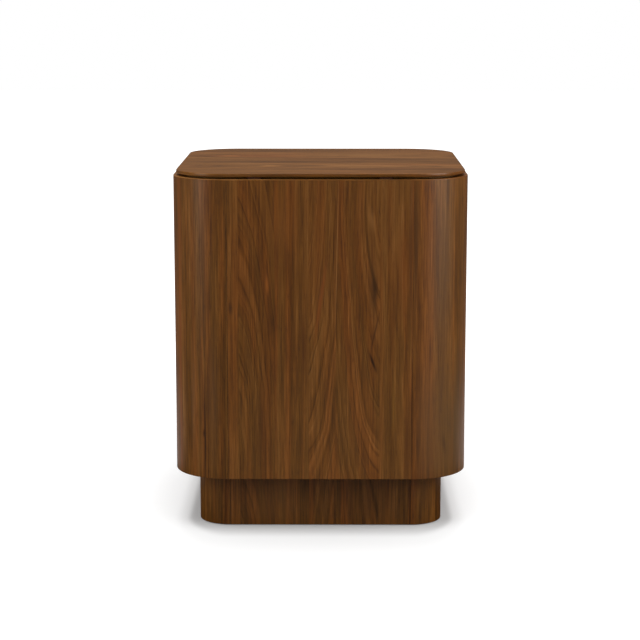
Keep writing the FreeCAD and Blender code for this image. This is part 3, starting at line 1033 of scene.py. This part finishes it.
# Cut from moulded sheet: an even brown, nearly matt, with a slightly uneven skin
source = add(tree, "ShaderNodeTexCoord").outputs["Object"]
skin = add(tree, NOISE, {"Vector": source, "Scale": 1 / SKIN_GRAIN, "Detail": 3.0})
colour = stops(add(tree, RAMP, {"Fac": skin}), [(0.2, linear("#5A361B")), (0.8, linear("#6E4526"))])
bump = add(tree, "ShaderNodeBump", {"Height": skin, "Strength": 0.2, "Distance": 0.1 * MM})
shader = add(tree, "ShaderNodeBsdfPrincipled", {"Base Color": colour, "Roughness": 0.75, "Normal": bump})
add(tree, "ShaderNodeOutputMaterial", {"Surface": shader})
dress(nodes["lid_pads"], made)
print(made.name, "with a skin of", round(SKIN_GRAIN / MM, 1), "mm")

# %% Zinc
TURNING_MARK = 0.3 * MM
made, tree = material("zinc_plated_steel")
# Plated steel: a bright, faintly warm grey metal, dulled by fine turning marks
source = add(tree, "ShaderNodeTexCoord").outputs["Object"]
marks = add(tree, NOISE, {"Vector": source, "Scale": 1 / TURNING_MARK, "Detail": 2.0})
gloss = add(tree, RANGE, {"Value": marks, "To Min": 0.28, "To Max": 0.45})
colour = stops(add(tree, RAMP, {"Fac": marks}), [(0.3, linear("#A9A79E")), (0.7, linear("#CFCDC4"))])
shader = add(tree, "ShaderNodeBsdfPrincipled", {"Base Color": colour, "Roughness": gloss, "Metallic": 1.0})
add(tree, "ShaderNodeOutputMaterial", {"Surface": shader})
dress(nodes["cleat_screws"], made)
print(len(bpy.data.materials), "materials so far")

# %% [markdown]
# ## Floor
# The photograph was made on seamless white paper: a soft dark pool close to the plinth, and white within a
# few centimetres. More light on the paper would also brighten the table, so the paper stays a plain matt
# grey to light, and only the camera sees it paler, with a little glow added. That glow starts weak at the
# plinth and grows with the distance from it, which leaves the shadow where the photograph has it.

# %% Lay the paper, and measure the way out from the plinth
start()
bpy.ops.mesh.primitive_plane_add(size=24, location=(0, 0, 0))
floor = bpy.context.object
floor.name = "studio_floor"
paper, tree = material("seamless_paper")
source = add(tree, "ShaderNodeTexCoord").outputs["Object"]
away = add(tree, VECTOR_MATH, {0: source}, operation="ABSOLUTE")
away = add(tree, VECTOR_MATH, {0: away, 1: (CENTRE, CENTRE, 0)}, operation="SUBTRACT")
away = add(tree, VECTOR_MATH, {0: away, 1: (0, 0, 0)}, operation="MAXIMUM")
reach = add(tree, VECTOR_MATH, {0: away}, operation="LENGTH").outputs["Value"]
reach = add(tree, MATH, {0: reach, 1: PLINTH_RADIUS}, operation="SUBTRACT")
print("the pool of shadow starts", round((CENTRE + PLINTH_RADIUS) / MM), "mm from the middle")

# %% Stretch the way out at the sides, where the photographed shadow is narrower
aside = add(tree, VECTOR_MATH, {0: away}, operation="NORMALIZE")
aside = add(tree, "ShaderNodeSeparateXYZ", {"Vector": aside}).outputs["X"]
EXTRA_ASIDE = 2.0
aside = add(tree, MATH, {0: aside, 1: 2.0}, operation="POWER")
spread = add(tree, MATH, {0: aside, 1: EXTRA_ASIDE, 2: 1.0}, operation="MULTIPLY_ADD")
spread = add(tree, MATH, {0: reach, 1: spread}, operation="MULTIPLY")
print("a step to the side counts", 1 + EXTRA_ASIDE, "times")

# %% The glow that only the camera sees
POOL_FROM, POOL_TO = 30 * MM, 68 * MM
BESIDE_FROM, BESIDE_TO = 45 * MM, 120 * MM
FAR_FROM, FAR_TO = 90 * MM, 1200 * MM
GLOW_IN_POOL = 0.12
GLOW_ROUND_POOL = 0.30
GLOW_BESIDE = 0.14
GLOW_FAR = 0.6
near = add(tree, RANGE, {"Value": spread, "From Min": POOL_FROM, "From Max": POOL_TO,
                         "To Min": GLOW_IN_POOL, "To Max": GLOW_ROUND_POOL}, interpolation_type=SOFT)
beside = add(tree, RANGE, {"Value": spread, "From Min": BESIDE_FROM, "From Max": BESIDE_TO,
                           "To Max": GLOW_BESIDE})
near = add(tree, MATH, {0: beside, 1: aside, 2: near}, operation="MULTIPLY_ADD")
far = add(tree, RANGE, {"Value": spread, "From Min": FAR_FROM, "From Max": FAR_TO, "To Max": GLOW_FAR})
glow = add(tree, MATH, {0: near, 1: far}, operation="ADD")
print("in front, the dark pool ends", round(POOL_TO / MM), "mm from the plinth")

# %% [markdown]
# ## What the lacquer sees of the floor
# Satin lacquer mirrors the floor at a flat angle, and there the photographed table reflects dark studio
# close by and bright paper beside and behind it. Is Glossy Ray lets the floor have another tone for such
# reflections: nearly black in front, a little lighter far behind, and bright beside the back half, which
# the lower sides pick up as a pale rim.

# %% The tone of the floor in reflections
BRIGHT_FROM, BRIGHT_TO = 0.25, 1.25
BRIGHTNESS = 0.62
BEHIND_FROM, BEHIND_TO = 0.3, 0.9
FRONT_TONE, BEHIND_TONE = 0.01, 0.1
BACK_HALF_FROM, BACK_HALF_TO = -0.1, 0.15
CLEAR_FROM, CLEAR_TO = 0.3, 0.45
place = add(tree, "ShaderNodeSeparateXYZ", {"Vector": source}).outputs
behind = add(tree, RANGE, {"Value": place["Y"], "From Min": BEHIND_FROM, "From Max": BEHIND_TO,
                           "To Min": FRONT_TONE, "To Max": BEHIND_TONE})
distance = add(tree, VECTOR_MATH, {0: source}, operation="LENGTH").outputs["Value"]
beyond = add(tree, RANGE, {"Value": distance, "From Min": BRIGHT_FROM, "From Max": BRIGHT_TO,
                           "To Min": BRIGHTNESS, "To Max": 0.0})
past = add(tree, RANGE, {"Value": place["Y"], "From Min": BACK_HALF_FROM, "From Max": BACK_HALF_TO})
clear_of = add(tree, MATH, {0: place["X"]}, operation="ABSOLUTE")
clear_of = add(tree, RANGE, {"Value": clear_of, "From Min": CLEAR_FROM, "From Max": CLEAR_TO})
beyond = add(tree, MATH, {0: beyond, 1: past}, operation="MULTIPLY")
reflected = add(tree, MATH, {0: beyond, 1: clear_of, 2: behind}, operation="MULTIPLY_ADD")
print("the bright paper in reflections fades out", BRIGHT_TO, "m from the middle")

# %% Put the paper together
PAPER_LIT = "#A0A0A0"
PAPER_SEEN = "#CDCDCD"
UNDERSIDE_GLOW = 0.35
UNDER_FROM, UNDER_TO = -30 * MM, -20 * MM
rays = add(tree, "ShaderNodeLightPath").outputs
tone = add(tree, "ShaderNodeMix", {"Factor": rays["Is Glossy Ray"], 6: linear(PAPER_LIT), 7: reflected},
           data_type="RGBA")
tone = add(tree, "ShaderNodeMix", {"Factor": rays["Is Camera Ray"], 6: tone.outputs[2],
                                   7: linear(PAPER_SEEN)}, data_type="RGBA")
matt = add(tree, "ShaderNodeBsdfDiffuse", {"Color": tone.outputs[2]})
# A weak glow inside the plinth keeps the hidden underside from going black in a view from below
under = add(tree, RANGE, {"Value": reach, "From Min": UNDER_FROM, "From Max": UNDER_TO,
                          "To Min": UNDERSIDE_GLOW, "To Max": 0.0})
strength = add(tree, MATH, {0: rays["Is Camera Ray"], 1: glow, 2: under}, operation="MULTIPLY_ADD")
lift = add(tree, "ShaderNodeEmission", {"Color": (1, 1, 1, 1), "Strength": strength})
both = add(tree, "ShaderNodeAddShader", {0: matt, 1: lift})
# From below the paper is clear, so that the underside can be looked at
below = add(tree, "ShaderNodeNewGeometry").outputs["Backfacing"]
clear = add(tree, "ShaderNodeBsdfTransparent")
sheet = add(tree, "ShaderNodeMixShader", {0: below, 1: both, 2: clear})
add(tree, "ShaderNodeOutputMaterial", {"Surface": sheet})
dress(floor, paper)
print(paper.name, "has", len(tree.nodes), "nodes")

# %% [markdown]
# ## Sky
# A white cyclorama lights the table from all round, most from overhead. The world does that evenly and
# without noise: dim at the horizon and bright above for the light, plain white for the camera, and for
# the lacquer almost dark, with a soft patch overhead and behind. That patch gives the lid its broad sheen.

# %% Sky for light, for reflections and for the camera
HORIZON_LIGHT = 0.17
OVERHEAD_LIGHT = 0.8
OVERHEAD_BY = 0.7
MIRRORED_FRONT = 0.02
MIRRORED_BACKDROP = 0.14
MIRRORED_OVERHEAD = 0.3
BACKDROP_FROM, BACKDROP_TO = 0.3, 0.95
PATCH_FROM, PATCH_TO = 0.4, 0.9
world = bpy.data.worlds.new("soft_sky")
bpy.context.scene.world = world
world.use_nodes = True
tree = world.node_tree
tree.nodes.clear()
direction = add(tree, "ShaderNodeTexCoord").outputs["Generated"]
heading = add(tree, "ShaderNodeSeparateXYZ", {"Vector": direction}).outputs
glow = add(tree, RANGE, {"Value": heading["Z"], "From Min": 0.0, "From Max": OVERHEAD_BY,
                         "To Min": HORIZON_LIGHT, "To Max": OVERHEAD_LIGHT}, interpolation_type=SOFT)
backdrop = add(tree, RANGE, {"Value": heading["Y"], "From Min": BACKDROP_FROM, "From Max": BACKDROP_TO,
                             "To Min": MIRRORED_FRONT, "To Max": MIRRORED_BACKDROP},
               interpolation_type=SOFT)
overhead = add(tree, RANGE, {"Value": heading["Z"], "From Min": PATCH_FROM, "From Max": PATCH_TO,
                             "To Max": MIRRORED_OVERHEAD}, interpolation_type=SOFT)
backdrop = add(tree, MATH, {0: backdrop, 1: overhead}, operation="ADD")
rays = add(tree, "ShaderNodeLightPath").outputs
level = add(tree, "ShaderNodeMix", {"Factor": rays["Is Glossy Ray"], 2: glow, 3: backdrop})
level = add(tree, "ShaderNodeMix", {"Factor": rays["Is Camera Ray"], 2: level, 3: 1.0})
sky = add(tree, "ShaderNodeBackground", {"Color": (1, 1, 1, 1), "Strength": level})
add(tree, "ShaderNodeOutputWorld", {"Surface": sky})
print(world.name, "has", len(tree.nodes), "nodes")

# %% [markdown]
# ## Softboxes
# Each front corner shows one pale upright gleam, the right one stronger. A gleam is the mirror image of a
# tall softbox, while the even light on the front comes from broad ones. One lamp can't be placed for
# both, so some light the wood without showing in the lacquer, and the card on the right shows only there.


# %% Hang one softbox
AIM = Vector((0, 0, 0.3))
LAMP_DISTANCE = 2.4


def softbox(name, azimuth, elevation, width, height, power, distance=LAMP_DISTANCE, mirrored=True,
            lighting=True):
    """A rectangle of light aimed at the table, at an azimuth from the front and an elevation in degrees."""
    lamp = bpy.data.lights.new(name, "AREA")
    lamp.shape = "RECTANGLE"
    lamp.size, lamp.size_y, lamp.energy = width, height, power
    box = bpy.data.objects.new(name, lamp)
    bpy.context.collection.objects.link(box)
    box.visible_glossy = mirrored
    box.visible_diffuse = lighting
    side, rise = math.radians(azimuth), math.radians(elevation)
    away = Vector((math.sin(side) * math.cos(rise), -math.cos(side) * math.cos(rise), math.sin(rise)))
    box.location = AIM + away * distance
    box.rotation_euler = away.to_track_quat("Z", "Y").to_euler()
    print(name, [round(part, 2) for part in box.location])


print("softboxes aim at", [round(part, 2) for part in AIM], "from", LAMP_DISTANCE, "m")

# %% Hang them all
softbox("softbox_right", azimuth=74, elevation=21, width=1.4, height=1.5, power=22, mirrored=False)
softbox("gleam_card_right", azimuth=58, elevation=25.5, width=1.5, height=1.4, power=35, lighting=False)
softbox("softbox_left", azimuth=-58, elevation=19, width=0.8, height=1.6, power=9)
softbox("side_fill_left", azimuth=-100, elevation=8, width=1.2, height=1.2, power=5, mirrored=False)
softbox("softbox_above", azimuth=0, elevation=80, width=2.2, height=2.2, power=40, distance=2.6,
        mirrored=False)

# %% [markdown]
# ## Camera
# The photograph is level, taken from 1.8 m away and 0.76 m up with the lens shifted down, so its uprights
# are parallel. Other views keep a lens shift, which would push the table out of their frame, so this
# camera tilts down instead and stands further off with a longer lens, which keeps the uprights within
# four pixels of the photograph's.

# %% Camera
IMAGE_WIDTH = 640
LENS_PIXELS = 1872.4
SENSOR_WIDTH = 36
EYE = (15.8 * MM, -(HALF + 2771.4 * MM), 823.8 * MM)
PITCH = math.radians(10.10)
YAW = math.radians(0.333)
camera_data = bpy.data.cameras.new("camera")
camera_data.sensor_width = SENSOR_WIDTH
camera_data.lens = LENS_PIXELS / IMAGE_WIDTH * SENSOR_WIDTH
camera_data.clip_start, camera_data.clip_end = 0.1, 60
camera = bpy.data.objects.new("camera", camera_data)
bpy.context.collection.objects.link(camera)
camera.location = EYE
camera.rotation_euler = (math.pi / 2 - PITCH, 0, YAW)
bpy.context.scene.camera = camera
bpy.context.scene.view_settings.view_transform = "Standard"
print("a lens of", round(camera_data.lens, 1), "mm from", [round(part, 3) for part in EYE])
